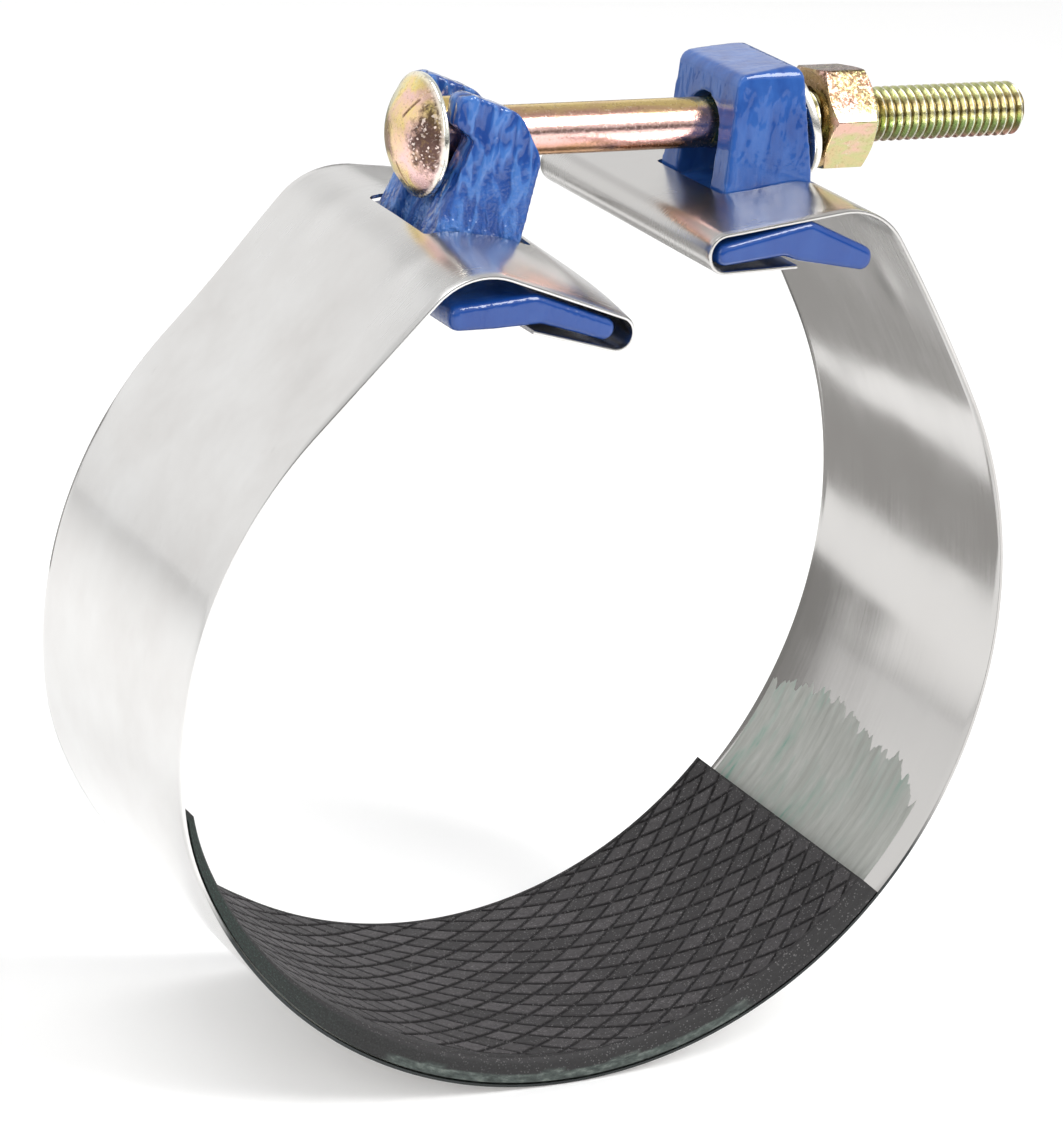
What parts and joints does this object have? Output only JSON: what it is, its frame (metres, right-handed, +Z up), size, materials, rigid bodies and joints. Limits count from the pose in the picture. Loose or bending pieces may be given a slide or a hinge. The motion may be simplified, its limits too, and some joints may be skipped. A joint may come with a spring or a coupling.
{
  "type": "pipe repair clamp coupling",
  "caption": "Wide stainless band that closes round a pipe: rubber pad inside, band ends folded over two enamelled lugs, drawn together by a bolt, washer and heavy hex nut.",
  "frame": {"origin": "on the pipe's centre line, at the middle of the band's width", "axes": "+Z up towards the bolt, +Y along the pipe, +X along the bolt from its head to its nut end"},
  "size_m": [0.2151, 0.08, 0.2246],
  "materials": {
    "stainless_band": "satin cold-rolled stainless sheet",
    "rubber": "matt moulded rubber with a diamond tread",
    "adhesive": "dried contact adhesive",
    "blue_enamel": "glossy dipped enamel over cast iron",
    "yellow_zinc": "iridescent yellow zinc plate",
    "washer_steel": "bright plated steel"
  },
  "bodies": {
    "fork_side": {"band": "stainless_band", "gasket_pad": "rubber", "adhesive": "adhesive", "fork_lug": "blue_enamel", "bolt": "yellow_zinc"},
    "block_side": {"block_lug": "blue_enamel"},
    "washer": {"washer": "washer_steel"},
    "nut": {"nut": "yellow_zinc"}
  },
  "joints": [
    {"name": "band_close", "type": "hinge", "parent": "fork_side", "child": "block_side", "pos_m": [0.0253, 0, -0.0979], "axis": [0, -1, 0], "range_deg": [0, 7], "deforming": ["band", "gasket_pad"]},
    {"name": "washer_slide", "type": "slide", "parent": "fork_side", "child": "washer", "axis": [-1, 0, 0], "range_m": [0, 0.0254]},
    {"name": "nut_spin", "type": "hinge", "parent": "washer", "child": "nut", "pos_m": [0.0685, 0, 0.1086], "axis": [-1, 0, 0], "range_deg": [0, 4320]}
  ],
  "couplings": [
    {"joint": "band_close", "follows": "nut_spin", "ratio": 0.00162},
    {"joint": "washer_slide", "follows": "nut_spin", "m_per_rad": 0.0003368}
  ]
}
